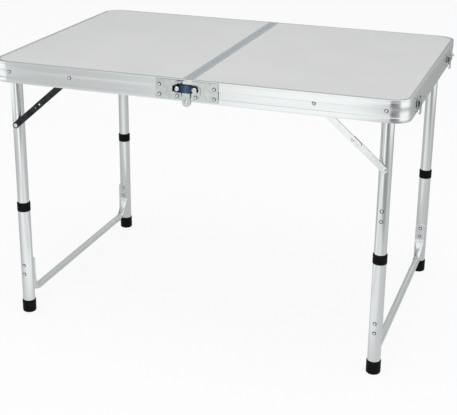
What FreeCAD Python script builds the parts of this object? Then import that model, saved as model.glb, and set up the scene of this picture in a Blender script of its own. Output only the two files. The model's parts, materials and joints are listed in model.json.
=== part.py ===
"""Folding aluminium camp kitchen table.

Two framed boards hinge together at the middle.  Each half carries a leg frame
that folds up under its board on two-link braces while its lower part slides up
over the upper tubes.  Millimetres, +Z up, +X along the table to the right, -Y
to the front.  The origin lies on the ground under the middle of the table.
"""
import FreeCAD
import Part
import math
import os

V = FreeCAD.Vector

# ---- shares used for rounded corners, and how straight an edge must be ------
corner_share = 0.8
collar_rounding_share = 0.6
upright_share = 0.9
same_height = 0.001

# ---- table ----------------------------------------------------------------
table_length = 900.0
table_width = 600.0
table_height = 600.0
seam_gap = 0.5

# ---- rim extrusion, bent round the outer corners ---------------------------
rim_height = 46.0
rim_wall = 1.6
corner_radius = 38.0
groove_depth = 1.0
groove_top = 18.5
groove_bottom = 35.0
step_thickness = 1.2
lip_width = 7.0
lip_thickness = 1.2
shelf_width = 13.0
shelf_thickness = 1.4
foot_flange_width = 7.0
foot_flange_thickness = 1.4

# ---- boards and the rails that cap them at the seam ------------------------
board_thickness = 3.5
board_side_clearance = 0.4
seam_rail_width = 11.0
seam_rail_wall = 1.2
seam_rail_end_clearance = 0.2

# ---- legs -------------------------------------------------------------------
pivot_from_end = 43.5
pivot_below_top = 22.0
leg_from_side = 29.0
upper_tube_radius = 13.0
upper_tube_wall = 1.0
upper_tube_above_pivot = 8.0
slide_overlap = 57.0
lower_tube_wall = 0.8
lower_tube_top = 262.0
slide_clearance = 0.1
collar_radius = 15.0
collar_seat_depth = 11.5
collar_height = 21.0
stud_collars_above = 3.5
foot_radius = 15.5
foot_height = 30.0
foot_sole = 5.0
foot_chamfer = 2.5
guide_flange = 3.0
plug_depth = 12.0
top_plug_depth = 46.0
plug_rivet_below_pivot = 30.0
plug_rivet_depth = 6.0

# ---- crossbars between the lower tubes -------------------------------------
crossbar_height = 44.0
crossbar_radius = 8.0
crossbar_wall = 1.2
crossbar_bend = 26.0
crossbar_tab_width = 24.0
crossbar_tab_thickness = 2.4
crossbar_tab_top = 130.0
crossbar_flatten_length = 16.0
crossbar_rivet_heights = (97.0, 119.0)
drain_radius = 1.5

# ---- pins, rivets and running clearances -----------------------------------
running_clearance = 0.05
leg_pin_radius = 3.0
leg_pin_shoulder = 5.0
brace_pin_radius = 2.5
brace_shoulder = 4.5
rivet_shank = 2.4
rivet_head = 4.2
rivet_head_height = 2.2
side_gap = 0.3

# ---- leg brackets -----------------------------------------------------------
bracket_thickness = 1.5
bracket_width = 32.0
bracket_below_pivot = 10.0

# ---- braces: a rail link and a leg link on the outer side of each leg ------
rail_brace_from_pivot = 142.5
leg_brace_from_pivot = 123.5
link_half_width = 7.0
link_thickness = 2.0
link_stand_off = 0.5
link_gap = 1.0
elbow_stop_distance = 14.0
open_pivot_clearance = 0.3
collar_stop_clearance = 0.8

# ---- centre hinges and hooks, front and back -------------------------------
hinge_below_rim = 0.5
plate_inner_edge = 11.5
plate_length = 56.0
plate_height = 41.0
plate_below_top = 2.0
plate_thickness = 1.8
ear_radius = 9.5
tongue_height = 32.5
tongue_half_width = 8.0
leaf_reach = 30.0
leaf_height = 14.0
layer_gap = 0.2
hinge_pin_radius = 3.0
hinge_pin_head = 4.5
hook_pivot_x = -20.0
hook_stud_x = 18.0
hook_below_top = 19.0
hook_half_height = 8.0
hook_thickness = 2.0
hook_gap = 0.3
hook_slot_clearance = 0.4
hook_stud_radius = 4.0
hook_stud_head = 5.6
hook_pin_radius = 3.0
hook_pin_spacer = 4.8
hook_pin_head = 5.4
thumb_tab_from_pivot = 5.0
thumb_tab_reach = 10.0
thumb_tab_width = 15.0
thumb_tab_thickness = 1.8
thumb_tab_lift = 8.0
end_lug_thickness = 2.0
end_lug_reach = 2.5
end_lug_half_height = 6.0
hook_lift_per_fold = 1.25
hook_release_steps = (0.0, 5.0, 10.0, 15.0)

# ---- end latches, catches and the carrying handle --------------------------
latch_from_middle = 195.0
latch_plate_width = 34.0
latch_plate_height = 32.0
latch_plate_thickness = 1.6
latch_ear_thickness = 2.0
latch_below_top = 19.5
latch_plate_above_pivot = 8.0
latch_pin_radius = 1.6
latch_barrel_radius = 3.0
latch_strap_width = 16.0
latch_strap_thickness = 2.0
latch_hole_radius = 4.4
latch_buffer_radius = 5.4
latch_hole_below_pivot = 11.5
latch_tab_width = 10.0
latch_tab_thickness = 1.6
latch_nose = 2.6
end_reach = 12.0
catch_width = 24.0
catch_thickness = 3.2
catch_recess = 7.0
catch_above_rim = 5.0
catch_recess_depth = 2.2
end_rivet_shank = 1.6
end_rivet_head = 3.0
end_rivet_height = 1.2
end_rivet_from_edge = 3.6
handle_width = 180.0
handle_drop = 28.0
handle_below_top = 12.0
handle_arm_radius = 4.0
handle_grip_radius = 5.5
handle_grip_length = 124.0
handle_axle_radius = 2.8
handle_block_width = 14.0
handle_block_height = 16.0
handle_block_gap = 0.5
handle_block_nose = 5.0

# ---- places worked out from the sizes above --------------------------------
half_length = table_length / 2
half_width = table_width / 2
half_gap = seam_gap / 2
rim_bottom = table_height - rim_height
board_top = table_height - lip_thickness
board_bottom = board_top - board_thickness
seam_rail_bottom = board_bottom - seam_rail_wall
groove_floor = half_width - groove_depth
rim_inner = groove_floor - rim_wall

pivot_x = half_length - pivot_from_end
pivot_z = table_height - pivot_below_top
leg_y = half_width - leg_from_side
upper_bore = upper_tube_radius - upper_tube_wall
upper_tube_foot = lower_tube_top - slide_overlap
collar_bottom = lower_tube_top - collar_seat_depth
lower_bore = upper_tube_radius + slide_clearance
lower_tube_radius = lower_bore + lower_tube_wall
collar_top = collar_bottom + collar_height
leg_outer_face = leg_y + upper_tube_radius

rail_brace_x = pivot_x - rail_brace_from_pivot
leg_brace_z = pivot_z - leg_brace_from_pivot
plug_rivet_z = pivot_z - plug_rivet_below_pivot
brace_length = math.hypot(rail_brace_from_pivot, leg_brace_from_pivot)
rail_link_length = (brace_length + rail_brace_from_pivot - leg_brace_from_pivot) / 2
leg_link_length = brace_length - rail_link_length
brace_slope = math.atan2(leg_brace_from_pivot, rail_brace_from_pivot)
elbow_x = rail_brace_x + rail_link_length * math.cos(brace_slope)
elbow_z = pivot_z - rail_link_length * math.sin(brace_slope)
leg_link_inner = leg_outer_face + link_stand_off
leg_link_outer = leg_link_inner + link_thickness
rail_link_inner = leg_link_outer + link_gap
rail_link_outer = rail_link_inner + link_thickness
lower_travel = leg_brace_z - link_half_width - collar_stop_clearance - collar_top

hinge_z = rim_bottom - hinge_below_rim
plate_face = half_width + plate_thickness
leaf_face = plate_face + plate_thickness
hook_inner = leaf_face + hook_gap
hook_outer = hook_inner + hook_thickness
hook_z = table_height - hook_below_top
latch_z = table_height - latch_below_top
latch_x = half_length + latch_plate_thickness + side_gap + latch_barrel_radius
catch_z = rim_bottom + catch_above_rim
catch_edge = 2 * hinge_z - catch_z + catch_recess / 2
latch_reach = latch_z - catch_edge + latch_nose / 2 + side_gap
handle_z = table_height - handle_below_top
handle_x = half_length + end_reach - handle_grip_radius


# ---- small builders ---------------------------------------------------------
def box(x_low, x_high, y_low, y_high, z_low, z_high):
    return Part.makeBox(x_high - x_low, y_high - y_low, z_high - z_low, V(x_low, y_low, z_low))


def rod_x(radius, y, z, x_low, x_high):
    return Part.makeCylinder(radius, x_high - x_low, V(x_low, y, z), V(1, 0, 0))


def rod_y(radius, x, z, y_low, y_high):
    return Part.makeCylinder(radius, y_high - y_low, V(x, y_low, z), V(0, 1, 0))


def rod_z(radius, x, y, z_low, z_high):
    return Part.makeCylinder(radius, z_high - z_low, V(x, y, z_low), V(0, 0, 1))


def fused(shapes):
    """Join touching or overlapping shapes into one clean solid."""
    joined = shapes[0]
    if len(shapes) > 1:
        joined = shapes[0].multiFuse(shapes[1:])
    return joined.removeSplitter()


def mirrored(shape, side, end):
    """Turn a right-front piece into the one for another side or end."""
    if side == "left":
        shape = shape.mirror(V(0, 0, 0), V(1, 0, 0))
    if end == "back":
        shape = shape.mirror(V(0, 0, 0), V(0, 1, 0))
    return shape


def front_and_back(shape, side="right"):
    """A front piece with its twin at the back."""
    return [mirrored(shape, side, "front"), mirrored(shape, side, "back")]


def turned_profile(points, dome_from, dome_top):
    """Revolve a stepped pin about its axis; the domed head closes the outline.

    points are (radius, height) pairs from the tail end to the head's rim.
    """
    path = [V(0, 0, points[0][1])]
    path += [V(radius, 0, height) for radius, height in points]
    edges = [Part.LineSegment(a, b).toShape() for a, b in zip(path, path[1:])]
    rim = V(dome_from[0], 0, dome_from[1])
    crown = V(0, 0, dome_top)
    rise = dome_top - dome_from[1]
    ball = (dome_from[0] ** 2 + rise ** 2) / (2 * rise)
    lean = math.atan2(dome_from[0], ball - rise) / 2
    middle = V(ball * math.sin(lean), 0, dome_top - ball * (1 - math.cos(lean)))
    edges.append(Part.Arc(rim, middle, crown).toShape())
    edges.append(Part.LineSegment(crown, path[0]).toShape())
    face = Part.Face(Part.Wire(edges))
    return face.revolve(V(0, 0, 0), V(0, 0, 1), 360)


def rivet(place, direction, grip, shank=rivet_shank, head=rivet_head, height=rivet_head_height):
    """A domed rivet; place is the middle of the head's seat, grip the depth of its shank."""
    points = [(shank, -grip), (shank, 0), (head, 0)]
    body = turned_profile(points, (head, 0), height)
    body.Placement = FreeCAD.Placement(place, FreeCAD.Rotation(V(0, 0, 1), direction))
    return body


def stepped_pin(x, z, steps, head_radius, head_height):
    """A pin along Y at the front.

    steps are (radius, distance of the step's outer end from the table's middle),
    from the inner end outwards; the first entry's distance is the inner end.
    """
    points = []
    depth = steps[0][1]
    for radius, outer in steps[1:]:
        points.append((radius, depth))
        points.append((radius, outer))
        depth = outer
    points.append((head_radius, depth))
    body = turned_profile(points, (head_radius, depth), depth + head_height)
    body.Placement = FreeCAD.Placement(V(x, 0, z), FreeCAD.Rotation(V(0, 0, 1), V(0, -1, 0)))
    return body


# ---- rims and boards --------------------------------------------------------
def half_outline(inset, start, z_low, z_high):
    """The right half's plan between two heights, drawn in from the rim's outer face."""
    far_x = half_length - inset
    side_y = half_width - inset
    radius = corner_radius - inset
    mid = radius * (1 - math.sqrt(0.5))
    near = [V(start, -side_y, z_low), V(far_x - radius, -side_y, z_low)]
    near_arc = Part.Arc(near[1], V(far_x - mid, -side_y + mid, z_low), V(far_x, -side_y + radius, z_low))
    far = [V(far_x - radius, side_y, z_low), V(start, side_y, z_low)]
    far_arc = Part.Arc(V(far_x, side_y - radius, z_low), V(far_x - mid, side_y - mid, z_low), far[0])
    edges = [
        Part.LineSegment(near[0], near[1]).toShape(),
        near_arc.toShape(),
        Part.LineSegment(V(far_x, -side_y + radius, z_low), V(far_x, side_y - radius, z_low)).toShape(),
        far_arc.toShape(),
        Part.LineSegment(far[0], far[1]).toShape(),
        Part.LineSegment(far[1], near[0]).toShape(),
    ]
    return Part.Face(Part.Wire(edges)).extrude(V(0, 0, z_high - z_low))


def rim_band(outer_inset, inner_inset, below_low, below_high):
    """One band of the rim's section; heights are measured down from the table top."""
    z_low = table_height - below_low
    z_high = table_height - below_high
    outer = half_outline(outer_inset, half_gap, z_low, z_high)
    return outer.cut(half_outline(inner_inset, half_gap, z_low, z_high))


def rim(end_rivet_places):
    """A half's rim, drawn on the right: groove, lip over the board, shelf and bottom flange."""
    groove_inner = groove_depth + rim_wall
    board_under = lip_thickness + board_thickness
    shape = fused([
        rim_band(0, rim_wall, groove_top, 0),
        rim_band(0, groove_inner, groove_top, groove_top - step_thickness),
        rim_band(groove_depth, groove_inner, groove_bottom, groove_top),
        rim_band(0, groove_inner, groove_bottom + step_thickness, groove_bottom),
        rim_band(0, rim_wall, rim_height, groove_bottom),
        rim_band(0, lip_width, lip_thickness, 0),
        rim_band(0, shelf_width, board_under + shelf_thickness, board_under),
        rim_band(0, foot_flange_width, rim_height, rim_height - foot_flange_thickness),
    ])
    holes = [rod_y(leg_pin_radius, pivot_x, pivot_z, -half_width, -rim_inner + rim_wall)]
    holes.append(rod_y(brace_pin_radius, rail_brace_x, pivot_z, -half_width, -rim_inner + rim_wall))
    for x, z in plate_rivet_places():
        holes.append(rod_y(rivet_shank, x, z, -half_width, -rim_inner + rim_wall))
    for y, z in end_rivet_places:
        holes.append(rod_x(end_rivet_shank, y, z, half_length - rim_wall, half_length))
    for hole in holes:
        shape = shape.cut(hole)
        shape = shape.cut(mirrored(hole, "right", "back"))
    return shape


def board():
    return half_outline(rim_wall + board_side_clearance, half_gap + seam_rail_wall, board_bottom, board_top)


def seam_rail():
    """The channel that caps the board's edge at the seam."""
    lip_end = half_width - lip_width - seam_rail_end_clearance
    shelf_end = half_width - shelf_width - seam_rail_end_clearance
    outer_x = half_gap + seam_rail_width
    web_x = half_gap + seam_rail_wall
    return fused([
        box(half_gap, outer_x, -lip_end, lip_end, board_top, table_height),
        box(half_gap, web_x, -lip_end, lip_end, board_bottom, board_top),
        box(half_gap, outer_x, -shelf_end, shelf_end, seam_rail_bottom, board_bottom),
    ])


# ---- leg pivots -------------------------------------------------------------
def shelf_edge_y(x):
    """How far the space inside the rim's shelf reaches to the side at some x."""
    inner_radius = corner_radius - shelf_width
    into_corner = max(0.0, x - (half_length - corner_radius))
    return half_width - corner_radius + math.sqrt(inner_radius ** 2 - into_corner ** 2)


def leg_bracket():
    """A plate under the board with a cheek on the leg's inner side."""
    x_low = pivot_x - bracket_width / 2
    x_high = pivot_x + bracket_width / 2
    cheek_outer = leg_y - upper_tube_radius - side_gap
    cheek_inner = cheek_outer - bracket_thickness
    plate_end = shelf_edge_y(x_high) - side_gap
    plate = box(x_low, x_high, -plate_end, -cheek_inner, board_bottom - bracket_thickness, board_bottom)
    cheek_bottom = pivot_z - bracket_below_pivot
    cheek = box(x_low, x_high, -cheek_outer, -cheek_inner, cheek_bottom, board_bottom)
    corners = [edge for edge in cheek.Edges if abs(edge.Curve.Direction.y) > upright_share]
    corners = [edge for edge in corners if edge.CenterOfMass.z < pivot_z]
    cheek = cheek.makeFillet(bracket_below_pivot * corner_share, corners)
    shape = fused([plate, cheek])
    return shape.cut(rod_y(leg_pin_radius, pivot_x, pivot_z, -cheek_outer, -cheek_inner))


def leg_pivot_pin():
    """The pin from the rim's outer face through the leg to the bracket's cheek."""
    cheek_inner = leg_y - upper_tube_radius - side_gap - bracket_thickness
    shoulder_end = leg_outer_face + side_gap
    tail = leg_pin_radius / 2
    steps = [
        (0, cheek_inner - tail),
        (leg_pin_shoulder, cheek_inner),
        (leg_pin_radius, shoulder_end),
        (leg_pin_shoulder, rim_inner),
        (leg_pin_radius, groove_floor),
    ]
    return stepped_pin(pivot_x, pivot_z, steps, rivet_head, rivet_head_height)


# ---- legs -------------------------------------------------------------------
def leg_pin_hole():
    reach = upper_tube_radius + side_gap
    radius = leg_pin_radius + running_clearance
    return rod_y(radius, pivot_x, pivot_z, -leg_y - reach, -leg_y + reach)


def brace_rivet_hole():
    return rod_y(brace_pin_radius, pivot_x, leg_brace_z, -leg_outer_face, -leg_y)


def plug_rivet_hole():
    """The hole on the leg's inner side for the rivet that holds the top plug."""
    face = -leg_y + upper_tube_radius
    return rod_y(rivet_shank, pivot_x, plug_rivet_z, face - plug_rivet_depth, face)


def plug_rivet():
    """The rivet that holds the top plug; its head sits on the leg's inner side."""
    face = -leg_y + upper_tube_radius
    body = rivet(V(pivot_x, face, plug_rivet_z), V(0, 1, 0), plug_rivet_depth)
    span = rivet_head + running_clearance
    outside = rod_z(upper_tube_radius, pivot_x, -leg_y, plug_rivet_z - span, plug_rivet_z + span)
    return body.cut(outside.cut(plug_rivet_hole()))


def upper_tube():
    top = pivot_z + upper_tube_above_pivot
    outer = rod_z(upper_tube_radius, pivot_x, -leg_y, upper_tube_foot, top)
    bore = rod_z(upper_bore, pivot_x, -leg_y, upper_tube_foot, top)
    return outer.cut(bore).cut(leg_pin_hole()).cut(brace_rivet_hole()).cut(plug_rivet_hole())


def top_plug():
    """The plug that the pivot pin turns in, inside the top of the upper tube."""
    top = pivot_z + upper_tube_above_pivot
    plug = rod_z(upper_bore, pivot_x, -leg_y, top - top_plug_depth, top)
    return plug.cut(leg_pin_hole()).cut(plug_rivet_hole())


def guide_plug():
    """The plug that guides the upper tube's lower end inside the lower tube."""
    foot = upper_tube_foot
    stem = rod_z(upper_bore, pivot_x, -leg_y, foot, foot + plug_depth)
    flange = rod_z(upper_tube_radius, pivot_x, -leg_y, foot - guide_flange, foot)
    return fused([flange, stem])


def crossbar_rivet_place(height, facing):
    """The seat of a rivet head on the tube's outer (-1) or the tab's inner (+1) side."""
    if facing < 0:
        return V(pivot_x, -leg_y - lower_tube_radius, height)
    return V(pivot_x, -leg_y + lower_tube_radius + crossbar_tab_thickness, height)


def lower_tube():
    outer = rod_z(lower_tube_radius, pivot_x, -leg_y, foot_sole, lower_tube_top)
    shape = outer.cut(rod_z(lower_bore, pivot_x, -leg_y, foot_sole, lower_tube_top))
    for height in crossbar_rivet_heights:
        reach = lower_tube_radius
        shape = shape.cut(rod_y(rivet_shank, pivot_x, height, -leg_y - reach, -leg_y + reach))
    return shape


def collar():
    """The black sleeve on the lower tube's top; its lip guides the upper tube."""
    outer = rod_z(collar_radius, pivot_x, -leg_y, collar_bottom, collar_top)
    rims = [edge for edge in outer.Edges if edge.Curve.TypeId == "Part::GeomCircle"]
    outer = outer.makeFillet((collar_radius - lower_tube_radius) * collar_rounding_share, rims)
    seat = rod_z(lower_tube_radius, pivot_x, -leg_y, collar_bottom, lower_tube_top)
    guide = rod_z(lower_bore, pivot_x, -leg_y, lower_tube_top, collar_top)
    return outer.cut(seat).cut(guide)


def foot():
    """The cup on the lower end of the leg."""
    outer = rod_z(foot_radius, pivot_x, -leg_y, 0, foot_height)
    sole_edge = [edge for edge in outer.Edges if edge.CenterOfMass.z < foot_sole]
    sole_edge = [edge for edge in sole_edge if edge.Curve.TypeId == "Part::GeomCircle"]
    outer = outer.makeChamfer(foot_chamfer, sole_edge)
    return outer.cut(rod_z(lower_tube_radius, pivot_x, -leg_y, foot_sole, foot_height))


# ---- crossbars --------------------------------------------------------------
def crossbar_path(z_end):
    """The round tube's centre line: level, then bent up beside both legs."""
    level_y = leg_y - lower_tube_radius - side_gap - crossbar_radius
    bend_y = level_y - crossbar_bend
    bend_z = crossbar_height + crossbar_bend
    mid = crossbar_bend * math.sqrt(0.5)
    front = [V(pivot_x, -level_y, z_end), V(pivot_x, -level_y, bend_z)]
    back = [V(pivot_x, level_y, bend_z), V(pivot_x, level_y, z_end)]
    front_level = V(pivot_x, -bend_y, crossbar_height)
    back_level = V(pivot_x, bend_y, crossbar_height)
    front_mid = V(pivot_x, -bend_y - mid, bend_z - mid)
    back_mid = V(pivot_x, bend_y + mid, bend_z - mid)
    edges = [
        Part.LineSegment(front[0], front[1]).toShape(),
        Part.Arc(front[1], front_mid, front_level).toShape(),
        Part.LineSegment(front_level, back_level).toShape(),
        Part.Arc(back_level, back_mid, back[0]).toShape(),
        Part.LineSegment(back[0], back[1]).toShape(),
    ]
    return Part.Wire(edges)


def crossbar_sweep(radius, z_end):
    path = crossbar_path(z_end)
    start = path.Edges[0].Vertexes[0].Point
    if abs(start.z - z_end) > same_height:
        start = path.Edges[0].Vertexes[-1].Point
    ring = Part.Wire([Part.makeCircle(radius, start, V(0, 0, 1))])
    return path.makePipeShell([ring], True, False)


def crossbar_tab():
    """The flattened end of the crossbar, riveted to the leg's inner side."""
    round_top = crossbar_height + crossbar_bend + crossbar_radius / 2
    flat_bottom = round_top + crossbar_flatten_length
    tube_y = -(leg_y - lower_tube_radius - side_gap - crossbar_radius)
    tab_outer = -(leg_y - lower_tube_radius)
    tab_inner = tab_outer + crossbar_tab_thickness
    half = crossbar_tab_width / 2
    middle = V(pivot_x, (tab_outer + tab_inner) / 2, flat_bottom)
    across = V(half, 0, 0)
    through = V(0, crossbar_tab_thickness / 2, 0)
    pressed = Part.Ellipse(middle + across, middle + through, middle)
    lower = Part.Wire([Part.makeCircle(crossbar_radius, V(pivot_x, tube_y, round_top), V(0, 0, 1))])
    blend = Part.makeLoft([lower, Part.Wire([pressed.toShape()])], True, True)
    tab = box(pivot_x - half, pivot_x + half, tab_outer, tab_inner, flat_bottom, crossbar_tab_top)
    corners = [edge for edge in tab.Edges if abs(edge.tangentAt(edge.FirstParameter).y) > upright_share]
    return blend, tab.makeFillet(crossbar_bend / 4, corners)


def crossbar():
    round_top = crossbar_height + crossbar_bend + crossbar_radius / 2
    tube = crossbar_sweep(crossbar_radius, round_top)
    hollow = crossbar_sweep(crossbar_radius - crossbar_wall, round_top - crossbar_wall)
    blend, tab = crossbar_tab()
    pieces = [tube, blend, tab]
    pieces += [mirrored(blend, "right", "back"), mirrored(tab, "right", "back")]
    shape = pieces[0].multiFuse(pieces[1:]).cut(hollow)
    shape = shape.cut(rod_z(drain_radius, pivot_x, 0, crossbar_height - crossbar_radius, crossbar_height))
    for height in crossbar_rivet_heights:
        for end in ("front", "back"):
            tab_reach = lower_tube_radius + crossbar_tab_thickness
            hole = rod_y(rivet_shank, pivot_x, height, -leg_y, -leg_y + tab_reach)
            shape = shape.cut(mirrored(hole, "right", end))
    return shape


def crossbar_rivets():
    """Rivets through the tab and the tube's walls; their tails end flush with the bore."""
    bore = rod_z(lower_bore, pivot_x, -leg_y, foot_sole, lower_tube_top)
    outside = rod_z(lower_tube_radius, pivot_x, -leg_y, foot_sole, lower_tube_top)
    group = []
    for height in crossbar_rivet_heights:
        grip = lower_tube_radius
        outer = rivet(crossbar_rivet_place(height, -1), V(0, -1, 0), grip - upper_bore / 2)
        seat = outside.cut(rod_y(rivet_shank, pivot_x, height, -leg_y - grip, -leg_y))
        group.append(outer.cut(bore).cut(seat))
        inner = rivet(crossbar_rivet_place(height, 1), V(0, 1, 0), grip - upper_bore / 2)
        group.append(inner.cut(bore))
    return group


# ---- braces -----------------------------------------------------------------
def strip(ends, half_wide, y_inner, y_outer):
    """A flat strip with round ends between two points in the table's long plane."""
    (x_a, z_a), (x_b, z_b) = ends
    length = math.hypot(x_b - x_a, z_b - z_a)
    bar = Part.makeBox(length, y_outer - y_inner, 2 * half_wide, V(0, 0, -half_wide))
    angle = math.degrees(math.atan2(z_a - z_b, x_b - x_a))
    bar.Placement = FreeCAD.Placement(V(x_a, -y_outer, z_a), FreeCAD.Rotation(V(0, 1, 0), angle))
    caps = [rod_y(half_wide, x, z, -y_outer, -y_inner) for x, z in ends]
    return fused([bar] + caps)


def leg_link():
    """The brace's lower strip, pivoted on the leg; its elbow hole is open."""
    ends = [(pivot_x, leg_brace_z), (elbow_x, elbow_z)]
    shape = strip(ends, link_half_width, leg_link_inner, leg_link_outer)
    leg_hole = brace_pin_radius + running_clearance
    elbow_hole = brace_pin_radius + open_pivot_clearance
    shape = shape.cut(rod_y(leg_hole, pivot_x, leg_brace_z, -leg_link_outer, -leg_link_inner))
    return shape.cut(rod_y(elbow_hole, elbow_x, elbow_z, -leg_link_outer, -leg_link_inner))


def rail_link():
    """The brace's upper strip with the elbow rivet and the stop stud past it."""
    stop_x = elbow_x + elbow_stop_distance * math.cos(brace_slope)
    stop_z = elbow_z - elbow_stop_distance * math.sin(brace_slope)
    ends = [(rail_brace_x, pivot_z), (stop_x, stop_z)]
    shape = strip(ends, link_half_width, rail_link_inner, rail_link_outer)
    rail_hole = brace_pin_radius + running_clearance
    shape = shape.cut(rod_y(rail_hole, rail_brace_x, pivot_z, -rail_link_outer, -rail_link_inner))
    shape = shape.cut(rod_y(brace_pin_radius, elbow_x, elbow_z, -rail_link_outer, -rail_link_inner))
    shape = shape.cut(rod_y(rivet_shank / 2, stop_x, stop_z, -rail_link_outer, -rail_link_inner))
    washer = rail_link_inner - link_gap + layer_gap
    steps = [(0, washer), (brace_shoulder, rail_link_inner), (brace_pin_radius, rail_link_outer)]
    elbow = stepped_pin(elbow_x, elbow_z, steps, rivet_head, rivet_head_height)
    stop = rivet(V(stop_x, -rail_link_outer, stop_z), V(0, -1, 0), link_thickness,
                 rivet_shank / 2, rivet_head / 2, rivet_head_height / 2)
    return [shape, elbow, stop]


def rail_brace_pin():
    """The pin and bush that carry the rail link off the rim's wall."""
    tail_inner = rail_link_inner - link_gap + layer_gap
    steps = [
        (0, tail_inner),
        (brace_shoulder, rail_link_inner - layer_gap),
        (brace_pin_radius, rail_link_outer + layer_gap),
        (leg_pin_shoulder, rim_inner),
        (brace_pin_radius, groove_floor),
    ]
    return stepped_pin(rail_brace_x, pivot_z, steps, rivet_head, rivet_head_height)


def leg_brace_rivet():
    """The rivet that carries the leg link on the upper tube, with its spacer."""
    head_inner = leg_link_outer + layer_gap / 2
    steps = [
        (0, leg_y + upper_bore - brace_shoulder),
        (brace_pin_radius, leg_y + upper_bore),
        (brace_shoulder, leg_link_inner - layer_gap / 2),
        (brace_pin_radius, head_inner),
    ]
    body = stepped_pin(pivot_x, leg_brace_z, steps, brace_shoulder, link_gap - 2 * layer_gap)
    tube = rod_z(upper_tube_radius, pivot_x, -leg_y, leg_brace_z - foot_height, leg_brace_z + foot_height)
    return body.cut(tube.cut(brace_rivet_hole()))


def leg_stud_heights():
    """The two studs that stand one above the other over the right front collar."""
    spacing = crossbar_rivet_heights[1] - crossbar_rivet_heights[0]
    first = collar_top + stud_collars_above * collar_height
    return first, first + spacing


def leg_studs():
    """Studs set flush in the tube wall, so that the collar slides over them."""
    outside = rod_z(upper_tube_radius, pivot_x, -leg_y, collar_top, leg_brace_z)
    bore = rod_z(upper_bore, pivot_x, -leg_y, collar_top, leg_brace_z)
    wall = outside.cut(bore)
    return [rod_y(rivet_head, pivot_x, z, -leg_outer_face, -leg_y).common(wall) for z in leg_stud_heights()]


def studded_upper_tube():
    shape = upper_tube()
    for stud in leg_studs():
        shape = shape.cut(stud)
    return shape


# ---- centre hinges ----------------------------------------------------------
def plate_rivet_places():
    """The three rivets of a hinge plate: two at its outer end, one low at its inner end."""
    outer_x = plate_inner_edge + plate_length - 2 * rivet_head
    inner_x = plate_inner_edge + 2 * rivet_head
    low_z = table_height - plate_below_top - plate_height + 2 * rivet_head
    high_z = low_z + plate_height / 2
    return [(outer_x, high_z), (outer_x, low_z), (inner_x, low_z)]


def hinge_plate():
    """The flat plate that both halves of the hinge share, on the right."""
    z_high = table_height - plate_below_top
    x_high = plate_inner_edge + plate_length
    shape = box(plate_inner_edge, x_high, -plate_face, -half_width, z_high - plate_height, z_high)
    for x, z in plate_rivet_places():
        shape = shape.cut(rod_y(rivet_shank, x, z, -plate_face, -half_width))
    return shape


def left_hinge_plate():
    """Plate with the ear that carries the hinge pin, next to the rim."""
    plate = hinge_plate().mirror(V(0, 0, 0), V(1, 0, 0))
    ear = rod_y(ear_radius, 0, hinge_z, -plate_face, -half_width)
    plate_bottom = table_height - plate_below_top - plate_height
    arm = box(-2 * plate_inner_edge, 0, -plate_face, -half_width, plate_bottom, hinge_z + ear_radius)
    shape = fused([plate, arm, ear])
    for x, z in plate_rivet_places():
        shape = shape.cut(rod_y(rivet_shank, -x, z, -plate_face, -half_width))
    shape = shape.cut(rod_y(hinge_pin_radius, 0, hinge_z, -plate_face, -half_width))
    return shape.cut(rod_y(hook_pin_radius, hook_pivot_x, hook_z, -plate_face, -half_width))


def right_hinge_plate():
    """Plate with the tongue that reaches over the seam down to the hinge pin."""
    plate = hinge_plate()
    tongue_top = hinge_z + tongue_height
    tongue_inner = plate_face + layer_gap
    tongue = box(-tongue_half_width, tongue_half_width, -leaf_face, -tongue_inner, hinge_z, tongue_top)
    ear = rod_y(ear_radius, 0, hinge_z, -leaf_face, -tongue_inner)
    bridge = box(0, plate_inner_edge, -leaf_face, -tongue_inner, tongue_top - leaf_height, tongue_top)
    leaf = box(plate_inner_edge, leaf_reach, -leaf_face, -plate_face, tongue_top - leaf_height, tongue_top)
    shape = fused([plate, leaf, bridge, tongue, ear])
    pin_hole = hinge_pin_radius + running_clearance
    shape = shape.cut(rod_y(pin_hole, 0, hinge_z, -leaf_face, -tongue_inner))
    return shape.cut(rod_y(hook_pin_radius, hook_stud_x, hook_z, -leaf_face, -half_width))


def hinge_pin():
    steps = [(0, half_width), (hinge_pin_radius, leaf_face + layer_gap)]
    return stepped_pin(0, hinge_z, steps, hinge_pin_head, rivet_head_height)


def plate_rivets(side):
    group = []
    grip = plate_face - rim_inner
    for x, z in plate_rivet_places():
        group += front_and_back(rivet(V(x, -plate_face, z), V(0, -1, 0), grip), side)
    return group


def hook_pin():
    """The pin that the hook turns on, with its spacer off the left plate."""
    steps = [
        (0, half_width),
        (hook_pin_radius, plate_face),
        (hook_pin_spacer, hook_inner - layer_gap / 2),
        (hook_pin_radius, hook_outer + layer_gap / 2),
    ]
    return stepped_pin(hook_pivot_x, hook_z, steps, hook_pin_head, rivet_head_height)


def hook_stud():
    """The stud on the right plate that the hook drops over."""
    steps = [
        (0, half_width),
        (hook_pin_radius, leaf_face),
        (hook_stud_radius, hook_outer + layer_gap),
    ]
    return stepped_pin(hook_stud_x, hook_z, steps, hook_stud_head, rivet_head_height)


def stud_seen_from_hook(fold):
    """The stud's place in the hook's own frame when the table has folded by some degrees."""
    turn = math.radians(fold)
    stud_rise = hook_z - hinge_z
    x = hook_stud_x * math.cos(turn) + stud_rise * math.sin(turn) - hook_pivot_x
    z = stud_rise * math.cos(turn) - hook_stud_x * math.sin(turn) - stud_rise
    lift = turn * hook_lift_per_fold
    seen_x = x * math.cos(lift) + z * math.sin(lift)
    seen_z = z * math.cos(lift) - x * math.sin(lift)
    return hook_pivot_x + seen_x, hook_z + seen_z


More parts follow.
